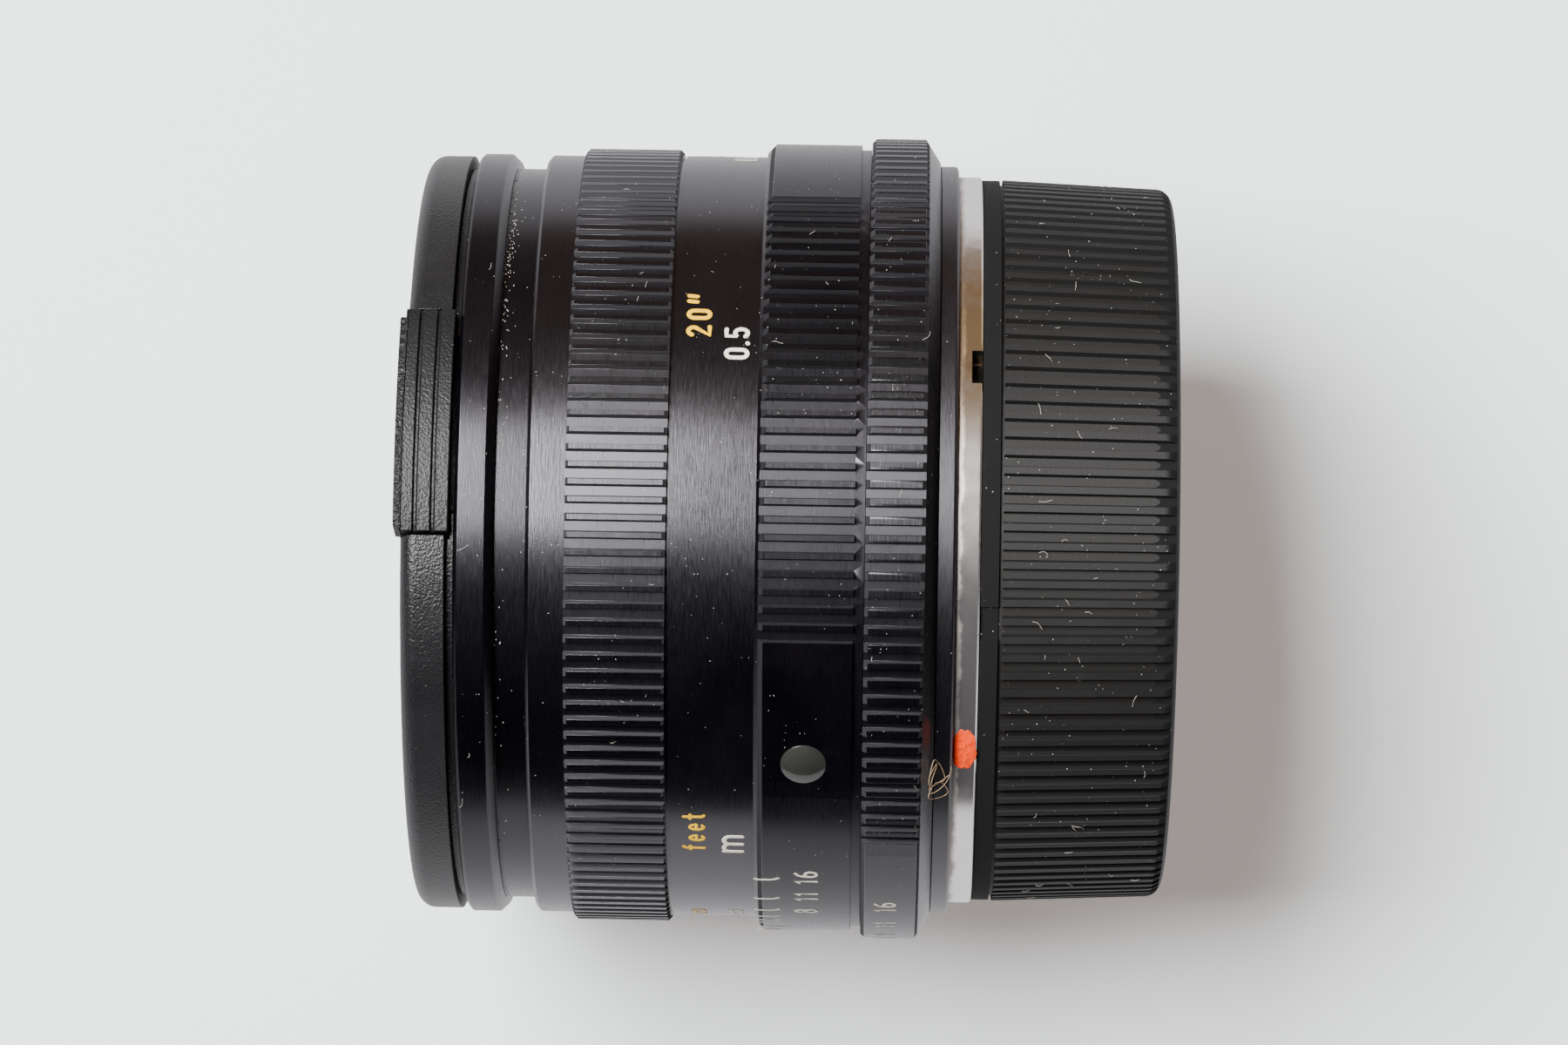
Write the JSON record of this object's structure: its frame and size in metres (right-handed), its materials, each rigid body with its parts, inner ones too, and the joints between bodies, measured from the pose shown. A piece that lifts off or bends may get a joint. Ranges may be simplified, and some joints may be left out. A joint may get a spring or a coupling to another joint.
{
  "type": "camera lens",
  "caption": "Manual focus prime lens with knurled rings, telescopic hood, iris and both caps fitted.",
  "frame": {"origin": "centre of the rear cap's end face, on which the lens stands", "axes": "+Z along the optical axis towards the front, -Y towards the side the picture shows"},
  "size_m": [0.066, 0.066, 0.0615],
  "materials": {
    "rear_cap": "moulded, ribbed",
    "flange": "satin chromed brass",
    "collar": "satin black anodised",
    "aperture_ring": "satin black anodised",
    "depth_ring": "satin black anodised",
    "focus_ring": "satin black anodised",
    "hood": "satin black anodised",
    "lens_barrel": "satin black anodised",
    "trim_ring": "satin black anodised",
    "index_bead": "moulded, domed",
    "front_cap": "moulded, fine grain",
    "cap_button": "moulded, ribbed",
    "inner_black": "flat optical black",
    "housing": "dark anodised",
    "brass": "machined",
    "steel": "machined",
    "spring_steel": "drawn strip",
    "iris_blade": "blackened",
    "felt": "felt band",
    "glass": "coated"
  },
  "bodies": {
    "barrel": {"bayonet_flange": "flange", "flange_screws": "steel", "rear_baffle": "inner_black", "rear_collar": "collar", "main_housing": "housing", "depth_scale_ring": "depth_ring", "index_bead": "index_bead", "click_ball": "steel", "click_spring": "spring_steel", "focus_key": "brass", "stop_down_spring": "spring_steel"},
    "aperture_control": {"aperture_ring": "aperture_ring", "aperture_coupler": "steel", "meter_cam": "steel"},
    "stop_down": {"stop_down_ring": "steel"},
    "lens_unit": {"lens_barrel": "lens_barrel", "filter_ring": "lens_barrel", "focus_retainer": "housing", "hood_felt": "felt", "front_trim_ring": "trim_ring", "front_cell": "inner_black", "front_element": "glass", "front_crown": "glass", "front_flint": "glass", "front_spacer": "inner_black", "front_retaining_ring": "inner_black", "rear_cell": "inner_black", "rear_flint": "glass", "rear_crown": "glass", "rear_element": "glass", "rear_retaining_ring": "inner_black", "pair_retaining_ring": "inner_black", "iris_case": "inner_black", "iris_cover": "inner_black"},
    "focusing": {"focus_ring": "focus_ring", "focus_nut": "brass", "nut_screws": "steel"},
    "iris_drive_ring": {"iris_ring": "brass"},
    "telescopic_hood": {"hood": "hood"},
    "front_cap": {"front_cap_plate": "front_cap", "front_cap_shell": "front_cap", "cap_spring_a": "spring_steel", "cap_spring_b": "spring_steel"},
    "button_a": {"cap_button_a": "cap_button"},
    "button_b": {"cap_button_b": "cap_button"},
    "rear_cap_body": {"rear_cap": "rear_cap"},
    "blade_1": {"iris_blade_1": "iris_blade"},
    "blade_2": {"iris_blade_2": "iris_blade"},
    "blade_3": {"iris_blade_3": "iris_blade"},
    "blade_4": {"iris_blade_4": "iris_blade"},
    "blade_5": {"iris_blade_5": "iris_blade"},
    "blade_6": {"iris_blade_6": "iris_blade"}
  },
  "joints": [
    {"name": "focus_turn", "type": "hinge", "parent": "lens_unit", "child": "focusing", "pos_m": [0, 0, 0.04], "axis": [0, 0, 1], "range_deg": [0, 252]},
    {"name": "focus_advance", "type": "slide", "parent": "barrel", "child": "lens_unit", "axis": [0, 0, 1], "range_m": [0, 0.00655]},
    {"name": "aperture_turn", "type": "hinge", "parent": "barrel", "child": "aperture_control", "pos_m": [0, 0, 0.0218], "axis": [0, 0, 1], "range_deg": [-15.1, 30.2]},
    {"name": "iris_drive", "type": "hinge", "parent": "lens_unit", "child": "iris_drive_ring", "pos_m": [0, 0, 0.026], "axis": [0, 0, 1], "range_deg": [-15.3, 30.4]},
    {"name": "hood_slide", "type": "slide", "parent": "lens_unit", "child": "telescopic_hood", "axis": [0, 0, 1], "range_m": [0, 0.0114]},
    {"name": "front_cap_pull", "type": "slide", "parent": "telescopic_hood", "child": "front_cap", "axis": [0, 0, 1], "range_m": [0, 0.015]},
    {"name": "button_a_press", "type": "slide", "parent": "front_cap", "child": "button_a", "axis": [-0.2924, 0.9563, 0], "range_m": [0, 0.0025], "stiffness_N_per_m": 300, "springref_m": -0.0015, "deforming": ["cap_spring_a"]},
    {"name": "button_b_press", "type": "slide", "parent": "front_cap", "child": "button_b", "axis": [0.2924, -0.9563, 0], "range_m": [0, 0.0025], "stiffness_N_per_m": 300, "springref_m": -0.0015, "deforming": ["cap_spring_b"]},
    {"name": "stop_down_turn", "type": "hinge", "parent": "barrel", "child": "stop_down", "pos_m": [0, 0, 0.0182], "axis": [0, 0, 1], "range_deg": [0, 20], "stiffness_Nm_per_rad": 0.02, "springref_deg": -17.19, "deforming": ["stop_down_spring"]},
    {"name": "rear_cap_pull", "type": "slide", "parent": "barrel", "child": "rear_cap_body", "axis": [0, 0, -1], "range_m": [0, 0.024]},
    {"name": "blade_1_swing", "type": "hinge", "parent": "lens_unit", "child": "blade_1", "pos_m": [0.0174, 0, 0.025], "axis": [0, 0, 1], "range_deg": [-20.4, 10.3]},
    {"name": "blade_2_swing", "type": "hinge", "parent": "lens_unit", "child": "blade_2", "pos_m": [0.0087, 0.01507, 0.025], "axis": [0, 0, 1], "range_deg": [-20.4, 10.3]},
    {"name": "blade_3_swing", "type": "hinge", "parent": "lens_unit", "child": "blade_3", "pos_m": [-0.0087, 0.01507, 0.025], "axis": [0, 0, 1], "range_deg": [-20.4, 10.3]},
    {"name": "blade_4_swing", "type": "hinge", "parent": "lens_unit", "child": "blade_4", "pos_m": [-0.0174, 0, 0.025], "axis": [0, 0, 1], "range_deg": [-20.4, 10.3]},
    {"name": "blade_5_swing", "type": "hinge", "parent": "lens_unit", "child": "blade_5", "pos_m": [-0.0087, -0.01507, 0.025], "axis": [0, 0, 1], "range_deg": [-20.4, 10.3]},
    {"name": "blade_6_swing", "type": "hinge", "parent": "lens_unit", "child": "blade_6", "pos_m": [0.0087, -0.01507, 0.025], "axis": [0, 0, 1], "range_deg": [-20.4, 10.3]}
  ],
  "couplings": [
    {"joint": "focus_advance", "follows": "focus_turn", "m_per_rad": 0.0014779},
    {"joint": "iris_drive", "follows": "aperture_turn", "ratio": 1},
    {"joint": "blade_1_swing", "follows": "aperture_turn", "ratio": -0.66887},
    {"joint": "blade_2_swing", "follows": "aperture_turn", "ratio": -0.66887},
    {"joint": "blade_3_swing", "follows": "aperture_turn", "ratio": -0.66887},
    {"joint": "blade_4_swing", "follows": "aperture_turn", "ratio": -0.66887},
    {"joint": "blade_5_swing", "follows": "aperture_turn", "ratio": -0.66887},
    {"joint": "blade_6_swing", "follows": "aperture_turn", "ratio": -0.66887}
  ]
}
